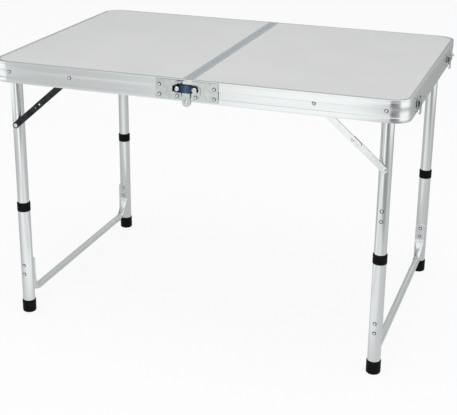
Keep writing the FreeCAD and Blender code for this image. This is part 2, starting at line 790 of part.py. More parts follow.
def hook_slot():
    """The open slot that lets the stud out as the hook lifts and the table folds."""
    swing = hook_stud_x - hook_pivot_x
    room = hook_stud_radius + hook_slot_clearance
    ring = rod_y(swing + room, hook_pivot_x, hook_z, -hook_outer, -hook_inner)
    ring = ring.cut(rod_y(swing - room, hook_pivot_x, hook_z, -hook_outer, -hook_inner))
    below = box(hook_pivot_x, hook_pivot_x + 2 * swing, -hook_outer, -hook_inner, hook_z - swing, hook_z)
    places = [stud_seen_from_hook(fold) for fold in hook_release_steps]
    runs = [strip([start, end], room, hook_inner, hook_outer) for start, end in zip(places, places[1:])]
    return ring.common(below).multiFuse(runs)


def thumb_tab():
    """The disc that a thumb lifts the hook by, on a stem over the hook's pivot."""
    middle = hook_pivot_x + thumb_tab_from_pivot
    half = thumb_tab_width / 2
    top = hook_z + hook_half_height + thumb_tab_lift
    stem = box(middle - half / 2, middle + half / 2, -hook_outer, -hook_inner, hook_z, top)
    disc = box(middle - half, middle + half, -hook_outer - thumb_tab_reach, -hook_inner,
               top - thumb_tab_thickness, top)
    outer_corners = [edge for edge in disc.Edges if abs(edge.tangentAt(edge.FirstParameter).z) > upright_share]
    outer_corners = [edge for edge in outer_corners if edge.CenterOfMass.y < -hook_outer]
    return [stem, disc.makeFillet(half * corner_share, outer_corners)]


def hook():
    """The hook: a strap, a slot that opens downwards, a thumb tab and a lug at its left end."""
    body = box(hook_pivot_x, hook_stud_x, -hook_outer, -hook_inner,
               hook_z - hook_half_height, hook_z + hook_half_height)
    ends = [rod_y(hook_half_height, x, hook_z, -hook_outer, -hook_inner)
            for x in (hook_pivot_x, hook_stud_x)]
    left_x = hook_pivot_x - hook_half_height
    lug = box(left_x, left_x + end_lug_thickness, -hook_outer - end_lug_reach, -hook_inner,
              hook_z - end_lug_half_height, hook_z + end_lug_half_height)
    shape = fused([body, lug] + thumb_tab() + ends).cut(hook_slot())
    hole = hook_pin_radius + running_clearance
    return shape.cut(rod_y(hole, hook_pivot_x, hook_z, -hook_outer, -hook_inner))


# ---- end latches, catches and handle ---------------------------------------
def latch_rivet_places():
    """The four rivets at the corners of a latch plate, as (y, z)."""
    z_high = latch_z + latch_plate_above_pivot - end_rivet_from_edge
    z_low = latch_z + latch_plate_above_pivot - latch_plate_height + end_rivet_from_edge
    reach = latch_plate_width / 2 - end_rivet_from_edge
    return [(sign * reach - latch_from_middle, z) for sign in (-1, 1) for z in (z_low, z_high)]


def catch_rivet_places():
    """The two rivets beside the recess of a catch plate, as (y, z)."""
    reach = catch_width / 2 - end_rivet_from_edge
    return [(sign * reach - latch_from_middle, catch_z) for sign in (-1, 1)]


def riveted_to_end(plate, thickness, places):
    """A plate on the end of the rim with its rivets."""
    face = half_length + thickness
    rivets = []
    for y, z in places:
        plate = plate.cut(rod_x(end_rivet_shank, y, z, half_length, face))
        rivets.append(rivet(V(face, y, z), V(1, 0, 0), thickness + rim_wall,
                            end_rivet_shank, end_rivet_head, end_rivet_height))
    return [plate] + rivets


def strap_inner_x():
    """The latch strap's inner face, clear of the catch plate that it passes when closed."""
    return half_length + catch_thickness + side_gap


def latch_base():
    """The right end's latch plate with two ears, its rivets, the pin and a black buffer."""
    y = -latch_from_middle
    half = latch_plate_width / 2
    face = half_length + latch_plate_thickness
    z_high = latch_z + latch_plate_above_pivot
    plate = box(half_length, face, y - half, y + half, z_high - latch_plate_height, z_high)
    ear_inner = latch_strap_width / 2 + side_gap
    ear_outer = ear_inner + latch_ear_thickness
    ears = []
    for low, high in ((-ear_outer, -ear_inner), (ear_inner, ear_outer)):
        ear = box(half_length, latch_x, y + low, y + high,
                  latch_z - latch_barrel_radius, latch_z + latch_barrel_radius)
        ears += [ear, rod_y(latch_barrel_radius, latch_x, latch_z, y + low, y + high)]
    shape = fused([plate] + ears)
    pin = rod_y(latch_pin_radius, latch_x, latch_z, y - ear_outer, y + ear_outer)
    buffer_z = latch_z - latch_hole_below_pivot
    buffer = rod_x(latch_buffer_radius, y, buffer_z, half_length, strap_inner_x() - layer_gap)
    shape = shape.cut(pin).cut(buffer)
    return riveted_to_end(shape, latch_plate_thickness, latch_rivet_places()) + [pin, buffer]


def latch_hook():
    """The hook that hangs from the latch pin: a holed strap, an inward nose and a thumb tab."""
    y = -latch_from_middle
    half = latch_strap_width / 2
    strap_inner = strap_inner_x()
    strap_outer = strap_inner + latch_strap_thickness
    nose_z = latch_z - latch_reach
    nose_x = half_length + catch_thickness - catch_recess_depth + hook_slot_clearance
    tab_half = latch_tab_width / 2
    tab_low = latch_z - latch_tab_thickness / 2
    barrel = rod_y(latch_barrel_radius, latch_x, latch_z, y - half, y + half)
    strap = box(strap_inner, strap_outer, y - half, y + half, nose_z - latch_nose / 2, latch_z)
    nose = box(nose_x, strap_outer, y - half / 2, y + half / 2,
               nose_z - latch_nose / 2, nose_z + latch_nose / 2)
    tab = box(latch_x, half_length + end_reach, y - tab_half, y + tab_half,
              tab_low, tab_low + latch_tab_thickness)
    shape = fused([barrel, strap, nose, tab])
    hole_z = latch_z - latch_hole_below_pivot
    shape = shape.cut(rod_x(latch_hole_radius, y, hole_z, strap_inner, strap_outer))
    return shape.cut(rod_y(latch_pin_radius + running_clearance, latch_x, latch_z, y - half, y + half))


def catch_plate():
    """The left end's catch, with a square recess for the hook's nose (drawn on the right)."""
    y = -latch_from_middle
    half = catch_width / 2
    recess = catch_recess / 2
    face = half_length + catch_thickness
    shape = box(half_length, face, y - half, y + half, rim_bottom, catch_z + half)
    deep = face - catch_recess_depth
    shape = shape.cut(box(deep, face, y - recess, y + recess, catch_z - recess, catch_z + recess))
    return riveted_to_end(shape, catch_thickness, catch_rivet_places())


def handle_block():
    """The block that carries one end of the handle (drawn on the right)."""
    middle = handle_width / 2 + handle_block_gap
    y_high = -middle
    y_low = y_high - handle_block_width
    half = handle_block_height / 2
    top = min(handle_z + half, table_height)
    block = box(half_length, handle_x, y_low, y_high, handle_z - half, top)
    nose = rod_y(handle_block_nose, handle_x, handle_z, y_low, y_high)
    bore = handle_axle_radius + running_clearance
    return fused([block, nose]).cut(rod_y(bore, handle_x, handle_z, y_low, y_high))


def handle():
    """The carrying handle, hanging flat beside the end rim (drawn on the right)."""
    arm_y = handle_width / 2 - handle_arm_radius
    bend = 2 * handle_arm_radius
    low_z = handle_z - handle_drop
    mid = bend * (1 - math.sqrt(0.5))
    edges = [
        Part.LineSegment(V(handle_x, -arm_y, handle_z), V(handle_x, -arm_y, low_z + bend)).toShape(),
        Part.Arc(V(handle_x, -arm_y, low_z + bend), V(handle_x, -arm_y + mid, low_z + mid),
                 V(handle_x, -arm_y + bend, low_z)).toShape(),
        Part.LineSegment(V(handle_x, -arm_y + bend, low_z), V(handle_x, arm_y - bend, low_z)).toShape(),
        Part.Arc(V(handle_x, arm_y - bend, low_z), V(handle_x, arm_y - mid, low_z + mid),
                 V(handle_x, arm_y, low_z + bend)).toShape(),
        Part.LineSegment(V(handle_x, arm_y, low_z + bend), V(handle_x, arm_y, handle_z)).toShape(),
    ]
    ring = Part.Wire([Part.makeCircle(handle_arm_radius, V(handle_x, -arm_y, handle_z), V(0, 0, 1))])
    bail = Part.Wire(edges).makePipeShell([ring], True, False)
    half_grip = handle_grip_length / 2
    grip = rod_y(handle_grip_radius, handle_x, low_z, -half_grip, half_grip)
    knuckles = []
    for sign in (-1, 1):
        y_in = sign * (arm_y - handle_arm_radius)
        y_out = sign * (arm_y + handle_arm_radius)
        knuckles.append(rod_y(handle_arm_radius, handle_x, handle_z, min(y_in, y_out), max(y_in, y_out)))
        y_end = y_out + sign * (handle_block_width + handle_block_gap)
        knuckles.append(rod_y(handle_axle_radius, handle_x, handle_z, min(y_out, y_end), max(y_out, y_end)))
    return fused([bail, grip] + knuckles)


# ---- the assembly -----------------------------------------------------------
def half_nodes(side):
    """Nodes of one half that lie in the table top or span both legs."""
    def at_side(shape):
        return mirrored(shape, side, "front")

    end_rivet_places = latch_rivet_places() if side == "right" else catch_rivet_places()
    return {
        side + "_rim": [at_side(rim(end_rivet_places))],
        side + "_board": [at_side(board())],
        side + "_seam_rail": [at_side(seam_rail())],
        side + "_leg_brackets": front_and_back(leg_bracket(), side),
        side + "_leg_pivot_pins": front_and_back(leg_pivot_pin(), side),
        side + "_rail_brace_pins": front_and_back(rail_brace_pin(), side),
        side + "_leg_plugs": front_and_back(top_plug(), side) + front_and_back(guide_plug(), side),
        side + "_leg_brace_rivets": [piece for shape in (leg_brace_rivet(), plug_rivet())
                                     for piece in front_and_back(shape, side)],
        side + "_crossbar": [at_side(crossbar())],
        side + "_crossbar_rivets": [piece for shape in crossbar_rivets()
                                    for piece in front_and_back(shape, side)],
        side + "_hinge_rivets": plate_rivets(side),
    }


def leg_nodes(side, end):
    """Nodes of one leg and its brace."""
    name = side + "_" + end + "_"
    upper = upper_tube()
    if (side, end) == ("right", "front"):
        upper = studded_upper_tube()
    shapes = {
        "upper_tube": [upper],
        "lower_tube": [lower_tube()],
        "collar": [collar()],
        "foot": [foot()],
        "leg_link": [leg_link()],
        "rail_link": rail_link(),
    }
    return {name + part: [mirrored(shape, side, end) for shape in group] for part, group in shapes.items()}


def hardware_nodes():
    """Hinges, hooks, latches, catches and the handle."""
    catches = [piece for shape in catch_plate() for piece in front_and_back(shape, "left")]
    return {
        "left_hinge_plates": front_and_back(left_hinge_plate()),
        "right_hinge_plates": front_and_back(right_hinge_plate()),
        "hinge_pins": front_and_back(hinge_pin()),
        "hook_pins": front_and_back(hook_pin()),
        "hook_studs": front_and_back(hook_stud()),
        "front_hook": [hook()],
        "back_hook": [mirrored(hook(), "right", "back")],
        "latch_bases": [piece for shape in latch_base() for piece in front_and_back(shape)],
        "front_latch_hook": [latch_hook()],
        "back_latch_hook": [mirrored(latch_hook(), "right", "back")],
        "catch_plates": catches,
        "handle_blocks": front_and_back(handle_block(), "left"),
        "carry_handle": [mirrored(handle(), "left", "front")],
        "right_front_leg_studs": leg_studs(),
    }


def main():
    nodes = hardware_nodes()
    for side in ("left", "right"):
        nodes.update(half_nodes(side))
        for end in ("front", "back"):
            nodes.update(leg_nodes(side, end))
    os.makedirs("parts", exist_ok=True)
    for name, solids in nodes.items():
        shape = solids[0] if len(solids) == 1 else Part.makeCompound(solids)
        shape.exportStep("parts/" + name + ".step")
        solid_count = len(shape.Solids)
        print(name, solid_count, "solids", round(shape.Volume / 1000, 2), "cm3", "valid", shape.isValid())
    print("nodes", len(nodes))
    print("pivot", pivot_x, pivot_z, "rail brace", rail_brace_x, "leg brace", leg_brace_z)
    print("elbow", round(elbow_x, 3), round(elbow_z, 3), "travel", round(lower_travel, 3))
    print("links", round(rail_link_length, 3), round(leg_link_length, 3))
    print("slope", round(math.degrees(brace_slope), 4), "hinge", hinge_z, "hook", hook_z)
    print("latch", latch_x, latch_z, "catch", catch_z, "handle", handle_x, handle_z)


main()
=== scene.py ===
import bpy
import bmesh
import json
import math
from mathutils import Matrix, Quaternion, Vector


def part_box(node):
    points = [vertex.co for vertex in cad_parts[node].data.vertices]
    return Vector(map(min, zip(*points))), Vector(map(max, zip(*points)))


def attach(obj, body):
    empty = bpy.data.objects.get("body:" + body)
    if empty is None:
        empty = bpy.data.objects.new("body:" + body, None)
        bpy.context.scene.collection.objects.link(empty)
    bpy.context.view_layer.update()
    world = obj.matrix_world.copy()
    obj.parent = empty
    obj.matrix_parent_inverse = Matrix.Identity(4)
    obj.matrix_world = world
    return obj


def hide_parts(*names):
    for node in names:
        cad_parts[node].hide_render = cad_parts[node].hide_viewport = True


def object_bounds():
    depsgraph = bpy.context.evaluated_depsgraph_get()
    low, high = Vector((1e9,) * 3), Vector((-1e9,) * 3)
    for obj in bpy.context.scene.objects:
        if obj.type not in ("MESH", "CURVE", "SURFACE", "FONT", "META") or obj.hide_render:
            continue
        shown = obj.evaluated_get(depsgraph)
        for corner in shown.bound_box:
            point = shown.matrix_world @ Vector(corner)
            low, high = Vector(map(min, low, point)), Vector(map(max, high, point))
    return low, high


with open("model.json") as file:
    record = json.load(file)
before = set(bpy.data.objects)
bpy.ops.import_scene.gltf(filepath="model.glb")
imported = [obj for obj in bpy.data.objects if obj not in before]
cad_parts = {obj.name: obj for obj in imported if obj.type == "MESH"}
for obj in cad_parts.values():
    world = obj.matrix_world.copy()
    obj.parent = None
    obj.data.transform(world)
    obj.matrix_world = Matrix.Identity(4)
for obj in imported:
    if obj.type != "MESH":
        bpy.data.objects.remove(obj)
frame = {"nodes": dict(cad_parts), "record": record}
cad_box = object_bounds()

MM = 0.001
SIDES = ("left", "right")
ENDS = ("front", "back")
NODES = frame["nodes"]
BODIES = frame["record"]["behaviour"]["bodies"]
BODY_OF = {node: body for body, nodes in BODIES.items() for node in nodes}


# ---- materials -------------------------------------------------------------------
NOISE_LOW, NOISE_HIGH = 0.25, 0.75     # nearly all values of a noise texture lie between these
STREAK_DEPTH = 0.04 * MM
ROLLED_GRAIN_DEPTH = 0.03 * MM
MOULDED_GRAIN_DEPTH = 0.06 * MM
LAMINATE_GRAIN_DEPTH = 0.05 * MM
CLOUD_SHARE, SPECK_SHARE = 0.45, 0.55
HOOK_BAR_START, HOOK_BAR_END = -19 * MM, 30 * MM
HOOK_WEAR = 0.30


class Surface:
    """One procedural material, built up around a Principled shader."""

    def __init__(self, name, roughness, metallic=0.0, coords="Object"):
        self.material = bpy.data.materials.new(name)
        self.material.use_nodes = True
        self.tree = self.material.node_tree
        self.shader = self.tree.nodes["Principled BSDF"]
        self.shader.inputs["Metallic"].default_value = metallic
        self.shader.inputs["Roughness"].default_value = roughness
        self.coords = self.add("ShaderNodeTexCoord").outputs[coords]

    def add(self, kind, **values):
        node = self.tree.nodes.new(kind)
        for key, value in values.items():
            if key in node.inputs:
                node.inputs[key].default_value = value
            else:
                setattr(node, key, value)
        return node

    def join(self, source, target):
        self.tree.links.new(source, target)

    def noise(self, scale, stretch=(1, 1, 1), detail=3.0, rough=0.5):
        mapping = self.add("ShaderNodeMapping")
        mapping.inputs["Scale"].default_value = stretch
        self.join(self.coords, mapping.inputs["Vector"])
        node = self.add("ShaderNodeTexNoise", Scale=scale, Detail=detail, Roughness=rough)
        self.join(mapping.outputs["Vector"], node.inputs["Vector"])
        return node.outputs["Fac"]

    def ramp(self, source, stops):
        node = self.add("ShaderNodeValToRGB")
        elements = node.color_ramp.elements
        while len(elements) < len(stops):
            elements.new(0.5)
        for element, (place, colour) in zip(elements, stops):
            element.position = place
            element.color = (*colour, 1)
        self.join(source, node.inputs["Fac"])
        return node.outputs["Color"]

    def tint(self, source, dark, light, low=0.3, high=0.7):
        """Colour runs from dark to light with the source."""
        self.join(self.ramp(source, [(low, dark), (high, light)]), self.shader.inputs["Base Color"])

    def vary_roughness(self, source, low, high):
        node = self.add("ShaderNodeMapRange")
        node.inputs["From Min"].default_value = NOISE_LOW
        node.inputs["From Max"].default_value = NOISE_HIGH
        node.inputs["To Min"].default_value = low
        node.inputs["To Max"].default_value = high
        self.join(source, node.inputs["Value"])
        self.join(node.outputs["Result"], self.shader.inputs["Roughness"])

    def bump(self, source, strength, distance):
        node = self.add("ShaderNodeBump", Strength=strength, Distance=distance)
        self.join(source, node.inputs["Height"])
        self.join(node.outputs["Normal"], self.shader.inputs["Normal"])


def brushed(name, dark, light, roughness, stretch, coords="Object"):
    """Extruded and anodised aluminium, with drawing streaks along one direction."""
    surface = Surface(name, roughness, 1.0, coords)
    streaks = surface.noise(1.0, stretch, 4.0, 0.6)
    surface.tint(streaks, dark, light)
    surface.vary_roughness(streaks, roughness - 0.06, roughness + 0.08)
    surface.bump(streaks, 0.12, STREAK_DEPTH)
    return surface.material


def plated(name, dark, light, roughness):
    """Zinc-plated steel: a soft mottle with a finer rolled grain."""
    surface = Surface(name, roughness, 1.0)
    mottle = surface.noise(90.0, detail=5.0, rough=0.65)
    surface.tint(mottle, dark, light)
    grain = surface.noise(1400.0, detail=2.0)
    surface.vary_roughness(surface.noise(220.0), roughness - 0.08, roughness + 0.12)
    surface.bump(grain, 0.15, ROLLED_GRAIN_DEPTH)
    return surface.material


def moulded(name, dark, light, roughness):
    """Moulded plastic with a fine spark-eroded grain."""
    surface = Surface(name, roughness)
    surface.shader.inputs["Specular IOR Level"].default_value = 0.12
    surface.tint(surface.noise(35.0), dark, light)
    surface.vary_roughness(surface.noise(160.0), roughness - 0.06, roughness + 0.1)
    surface.bump(surface.noise(2600.0, detail=1.0), 0.25, MOULDED_GRAIN_DEPTH)
    return surface.material


def laminate():
    """Pale silver-grey laminate: faint clouding, fine mottle, and a low sheen."""
    surface = Surface("board_laminate", 0.42)
    surface.shader.inputs["Specular IOR Level"].default_value = 0.35
    cloud = surface.noise(6.0, detail=2.0)
    speck = surface.noise(420.0, detail=3.0, rough=0.7)
    mix = surface.add("ShaderNodeMath", operation="ADD")
    for place, (source, share) in enumerate(((cloud, CLOUD_SHARE), (speck, SPECK_SHARE))):
        part = surface.add("ShaderNodeMath", operation="MULTIPLY")
        part.inputs[1].default_value = share
        surface.join(source, part.inputs[0])
        surface.join(part.outputs[0], mix.inputs[place])
    surface.tint(mix.outputs[0], (0.625, 0.62, 0.615), (0.675, 0.67, 0.665), 0.35, 0.65)
    surface.vary_roughness(speck, 0.36, 0.5)
    surface.bump(surface.noise(900.0, detail=2.0), 0.1, LAMINATE_GRAIN_DEPTH)
    return surface.material


def blued():
    """Hook steel: near black, with a blue heat tint along the middle of its bar."""
    surface = Surface("blued_steel", 0.26, 1.0)
    place = surface.add("ShaderNodeSeparateXYZ")
    surface.join(surface.coords, place.inputs[0])
    along = surface.add("ShaderNodeMapRange")
    along.inputs["From Min"].default_value = HOOK_BAR_START
    along.inputs["From Max"].default_value = HOOK_BAR_END
    surface.join(place.outputs["X"], along.inputs["Value"])
    worn = surface.add("ShaderNodeMath", operation="MULTIPLY_ADD")
    worn.inputs[1].default_value = HOOK_WEAR
    surface.join(surface.noise(160.0, detail=4.0, rough=0.6), worn.inputs[0])
    surface.join(along.outputs["Result"], worn.inputs[2])
    tint = surface.ramp(worn.outputs[0], [
        (0.20, (0.010, 0.012, 0.016)), (0.40, (0.045, 0.085, 0.16)),
        (0.52, (0.11, 0.18, 0.32)), (0.68, (0.06, 0.10, 0.19)), (0.88, (0.010, 0.012, 0.016)),
    ])
    surface.join(tint, surface.shader.inputs["Base Color"])
    surface.vary_roughness(surface.noise(220.0), 0.2, 0.36)
    surface.bump(surface.noise(1400.0, detail=2.0), 0.15, ROLLED_GRAIN_DEPTH)
    return surface.material


RIM_STREAKS = (3, 900, 1)
RIM = brushed("rim_aluminium", (0.92, 0.95, 0.95), (0.98, 0.99, 0.985), 0.17, RIM_STREAKS, "UV")
BAND = brushed("rim_band_aluminium", (0.92, 0.94, 0.94), (0.97, 0.985, 0.98), 0.20, RIM_STREAKS, "UV")
SEAM = brushed("seam_aluminium", (0.78, 0.84, 0.88), (0.86, 0.92, 0.96), 0.34, (900, 4, 900))
TUBE = brushed("tube_aluminium", (0.89, 0.92, 0.92), (0.96, 0.975, 0.975), 0.15, (700, 700, 4))
BAR = brushed("bar_aluminium", (0.86, 0.88, 0.89), (0.94, 0.95, 0.95), 0.22, (700, 6, 60))
ZINC = plated("zinc_steel", (0.66, 0.71, 0.69), (0.86, 0.89, 0.87), 0.28)
# One strap steel in two copies, painted light and painted shade: the lit copy goes on the right straps,
# the shaded copy on the left ones.
STRAP_LIT_COPY = plated("strap_steel_lit_copy", (0.88, 0.90, 0.90), (0.96, 0.97, 0.97), 0.16)
STRAP_SHADED_COPY = plated("strap_steel_shaded_copy", (0.02, 0.024, 0.027), (0.075, 0.085, 0.085), 0.30)
# painted shade: a near-black steel laid on rivet rims, strap edges, hinge plate edges, hook tops and
# button holes so that they read dark
PAINTED_SHADE_STEEL = plated("painted_shade_steel", (0.03, 0.034, 0.034), (0.10, 0.11, 0.11), 0.40)
RIVET = plated("rivet_aluminium", (0.84, 0.85, 0.86), (0.95, 0.95, 0.95), 0.10)
BLACK = moulded("black_plastic", (0.002, 0.002, 0.0023), (0.006, 0.006, 0.0066), 0.48)
BLUED = blued()
BOARD = laminate()


# ---- mesh helpers ----------------------------------------------------------------
SHARP_EDGE = 32                        # degrees; edges sharper than this are rolled over
FLAT_ENOUGH = 1.0                      # degrees; triangles this flat to each other become one face
CAD_WELD = 0.002 * MM
LATHE_WELD = 0.0005 * MM


def add_piece(name, mesh, material, node):
    """Puts a mesh in the scene as a piece that stands for a CAD node and rides on its body."""
    piece = bpy.data.objects.new(name, mesh)
    bpy.context.scene.collection.objects.link(piece)
    mesh.materials.clear()
    mesh.materials.append(material)
    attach(piece, BODY_OF[node])
    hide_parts(node)
    return piece


def smooth(mesh, angle=SHARP_EDGE):
    mesh.shade_smooth()
    mesh.set_sharp_from_angle(angle=math.radians(angle))


def softened(node, material, width=0.35 * MM):
    """A copy of a CAD node's shape with its edges rolled over, in place of the node."""
    source = NODES[node]
    mesh = source.data.copy()
    mesh.transform(source.matrix_world)
    form = bmesh.new()
    form.from_mesh(mesh)
    bmesh.ops.remove_doubles(form, verts=form.verts, dist=CAD_WELD)
    bmesh.ops.dissolve_limit(
        form, angle_limit=math.radians(FLAT_ENOUGH), verts=form.verts, edges=form.edges)
    form.to_mesh(mesh)
    form.free()
    mesh.name = node + "_soft"
    piece = add_piece(node + "_soft", mesh, material, node)
    smooth(mesh)
    bevel = piece.modifiers.new("edges", "BEVEL")
    bevel.width = width
    bevel.segments = 2
    bevel.limit_method = "ANGLE"
    bevel.angle_limit = math.radians(SHARP_EDGE)
    bevel.use_clamp_overlap = True
    bevel.harden_normals = True
    return piece


def mark(piece, material, wanted):
    """Gives a second material to the faces that pass a test: another finish, or painted shade."""
    piece.data.materials.append(material)
    index = len(piece.data.materials) - 1
    for face in piece.data.polygons:
        if wanted(face):
            face.material_index = index


def fillet_loop(points, steps=3):
    """Rounds a closed outline; each point is (x, y, radius)."""
    out = []
    count = len(points)
    for i, (x, y, radius) in enumerate(points):
        here = Vector((x, y))
        before = Vector(points[i - 1][:2])
        after = Vector(points[(i + 1) % count][:2])
        if radius <= 0:
            out.append(here)
            continue
        a = (before - here).normalized()
        b = (after - here).normalized()
        reach = radius / math.tan(a.angle(b) / 2)
        start, end = here + a * reach, here + b * reach
        for step in range(steps + 1):
            t = step / steps
            out.append(start.lerp(here, t).lerp(here.lerp(end, t), t))
    return out


def sweep(name, sections, closed_ends=True):
    """A mesh through a row of closed sections, each a list of points; its UVs are in metres."""
    form = bmesh.new()
    rings = [[form.verts.new(point) for point in section] for section in sections]
    uv = form.loops.layers.uv.new("UVMap")
    along = [0.0]
    for a, b in zip(sections, sections[1:]):
        along.append(along[-1] + (Vector(a[0]) - Vector(b[0])).length)
    size = len(sections[0])
    girth = [0.0]
    for i in range(size):
        step = Vector(sections[0][i]) - Vector(sections[0][(i + 1) % size])
        girth.append(girth[-1] + step.length)
    for j in range(len(rings) - 1):
        for i in range(size):
            k = (i + 1) % size
            face = form.faces.new((rings[j][i], rings[j][k], rings[j + 1][k], rings[j + 1][i]))
            corners = ((j, i), (j, i + 1), (j + 1, i + 1), (j + 1, i))
            for loop, (u, v) in zip(face.loops, corners):
                loop[uv].uv = (along[u], girth[v])
    if closed_ends:
        for ring in (rings[0], rings[-1]):
            form.faces.new(ring)
    bmesh.ops.recalc_face_normals(form, faces=form.faces)
    mesh = bpy.data.meshes.new(name)
    form.to_mesh(mesh)
    form.free()
    return mesh


def turned(name, profile, centre, axis="Z", steps=48):
    """A lathe form; profile is a closed loop of (radius, height) in metres."""
    sections = []
    for i in range(steps + 1):
        angle = 2 * math.pi * i / steps
        ring = []
        for radius, height in profile:
            x, y = radius * math.cos(angle), radius * math.sin(angle)
            offset = (x, y, height) if axis == "Z" else (x, -height, y)
            ring.append(Vector(centre) + Vector(offset))
        sections.append(ring)
    mesh = sweep(name, sections, closed_ends=False)
    form = bmesh.new()
    form.from_mesh(mesh)
    bmesh.ops.remove_doubles(form, verts=form.verts, dist=LATHE_WELD)
    bmesh.ops.recalc_face_normals(form, faces=form.faces)
    form.to_mesh(mesh)
    form.free()
    return mesh


# ---- rims: one extrusion each, bent round two corners ------------------------------
TOP = cad_box[1].z
RIM_LOW, RIM_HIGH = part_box("right_rim")
CORNER = 38 * MM
LONG_SIDE_STOPS = (RIM_LOW.x, RIM_LOW.x + 0.08, 0.2, 0.33)
SHORT_SIDE_STOPS = (-0.15, 0.0, 0.15)
OUTER_WALL = 2.2 * MM
BAND_TOP, BAND_BOTTOM = 19, 34.5       # mm below the top: the floor of the groove
# inset from the outer face, depth below the top and rounding, all in mm
RIM_SECTION = [
    (7.0, 0.0, 0.4), (0.0, 0.0, 1.1), (0.0, 3.2, 0.3), (0.35, 3.6, 0.2), (0.35, 4.6, 0.2),
    (0.0, 5.0, 0.3), (0.0, 18.2, 0.5), (1.0, 18.9, 0.4), (1.0, 34.6, 0.4), (0.0, 35.3, 0.5),
    (0.0, 46.0, 1.2), (7.0, 46.0, 0.5), (7.0, 44.6, 0.3), (1.6, 44.6, 0.4), (1.6, 36.2, 0.3),
    (2.6, 35.8, 0.3), (2.6, 17.6, 0.3), (1.6, 17.2, 0.3), (1.6, 6.1, 0.4), (13.0, 6.1, 0.5),
    (13.0, 4.7, 0.4), (1.6, 4.7, 0.3), (1.6, 1.2, 0.3), (7.0, 1.2, 0.3),
]


def rim_path(steps=14):
    """Places along the right half's outline: (point, outward direction)."""
    far, side = RIM_HIGH.x, RIM_HIGH.y
    places = [(Vector((x, -side)), Vector((0, -1))) for x in LONG_SIDE_STOPS]
    for sign in (-1, 1):
        centre = Vector((far - CORNER, sign * (side - CORNER)))
        for i in range(steps + 1):
            t = i / steps
            angle = (-90 + 90 * t) if sign < 0 else 90 * t
            out = Vector((math.cos(math.radians(angle)), math.sin(math.radians(angle))))
            places.append((centre + out * CORNER, out))
        if sign < 0:
            places += [(Vector((far, y)), Vector((1, 0))) for y in SHORT_SIDE_STOPS]
    places += [(Vector((x, side)), Vector((0, 1))) for x in reversed(LONG_SIDE_STOPS)]
    return places


def on_outer_wall(point):
    """True for points on the extrusion's outer wall rather than its inner one."""
    past_x, past_y = abs(point.x) - RIM_HIGH.x, abs(point.y) - RIM_HIGH.y
    on_a_side = max(past_x, past_y) > -OUTER_WALL
    return on_a_side or math.hypot(past_x + CORNER, past_y + CORNER) > CORNER - OUTER_WALL


def make_rim(side):
    outline = fillet_loop(RIM_SECTION)
    sign = 1 if side == "right" else -1
    sections = []
    for point, out in rim_path():
        ring = []
        for inset, below in outline:
            place = point - out * inset * MM
            ring.append(Vector((place.x * sign, place.y, TOP - below * MM)))
        sections.append(ring)
    mesh = sweep(side + "_rim_extrusion", sections)
    smooth(mesh, angle=40)
    piece = add_piece(side + "_rim_extrusion", mesh, RIM, side + "_rim")

    def in_band(face):
        upright = abs(face.normal.z) < 0.1 and len(face.vertices) == 4
        below = (TOP - face.center.z) / MM
        return upright and BAND_TOP < below < BAND_BOTTOM and on_outer_wall(face.center)

    mark(piece, BAND, in_band)


for side in SIDES:
    make_rim(side)


# ---- collars and feet --------------------------------------------------------------
UPPER_TUBE_BORE = 13.1 * MM            # the collar's hole for the upper tube
LOWER_TUBE_SEAT = 13.9 * MM            # the hole in collars and feet for the lower tube
SEAT_DEPTH = 11.5 * MM
FIRST_RIB, RIB_PITCH = 4.5, 4.2        # mm
RIB_DEPTH = 0.55 * MM
FOOT_FLOOR = 5 * MM
# (inset from the outer radius, height) in mm; for the heads the second is the depth below the top
COLLAR_FOOT = [(0.9, 0), (0.25, 0.5), (0, 1.4)]
COLLAR_HEAD = [(0, 2.4), (0.2, 1.2), (0.9, 0.2)]
FOOT_SOLE = [(6, 0.6), (5, 0), (3.2, 0), (1.6, 0.5), (0.5, 1.6), (0, 3.4)]
FOOT_GROOVE = [(0, 8.0), (0.4, 8.5), (0.4, 9.5), (0, 10.0)]
FOOT_HEAD = [(0, 1.6), (0.3, 0.6), (0.8, 0)]


def centre_of(node):
    low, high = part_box(node)
    return (low + high) / 2, low, high


def from_outer(outer, rows, top=None):
    """Profile points in metres; with a top, the rows' heights are counted down from it."""
    points = []
    for inset, level in rows:
        height = level * MM if top is None else top - level * MM
        points.append((outer - inset * MM, height))
    return points


def make_collar(side, end):
    node = f"{side}_{end}_collar"
    middle, low, high = centre_of(node)
    outer = (high.x - low.x) / 2
    height = high.z - low.z
    profile = [(LOWER_TUBE_SEAT, 0)] + from_outer(outer, COLLAR_FOOT)
    for rib in range(3):
        start = (FIRST_RIB + RIB_PITCH * rib) * MM
        profile += [(outer, start), (outer - RIB_DEPTH, start + 0.5 * MM)]
        profile += [(outer - RIB_DEPTH, start + 1.5 * MM), (outer, start + 2.0 * MM)]
    profile += from_outer(outer, COLLAR_HEAD, height)
    profile += [(UPPER_TUBE_BORE + 0.5 * MM, height), (UPPER_TUBE_BORE, height - 0.5 * MM)]
    profile += [(UPPER_TUBE_BORE, SEAT_DEPTH), (LOWER_TUBE_SEAT, SEAT_DEPTH)]
    mesh = turned(node + "_ribbed", profile, (middle.x, middle.y, low.z))
    smooth(mesh, angle=38)
    add_piece(node + "_ribbed", mesh, BLACK, node)


def make_foot(side, end):
    node = f"{side}_{end}_foot"
    middle, low, high = centre_of(node)
    outer = (high.x - low.x) / 2
    height = high.z - low.z
    profile = [(0, FOOT_FLOOR), (0, 0.6 * MM)] + from_outer(outer, FOOT_SOLE + FOOT_GROOVE)
    profile += from_outer(outer, FOOT_HEAD, height)
    profile += [(LOWER_TUBE_SEAT, height), (LOWER_TUBE_SEAT, FOOT_FLOOR)]
    mesh = turned(node + "_moulded", profile, (middle.x, middle.y, low.z))
    smooth(mesh, angle=38)
    add_piece(node + "_moulded", mesh, BLACK, node)


for side in SIDES:
    for end in ENDS:
        make_collar(side, end)
        make_foot(side, end)


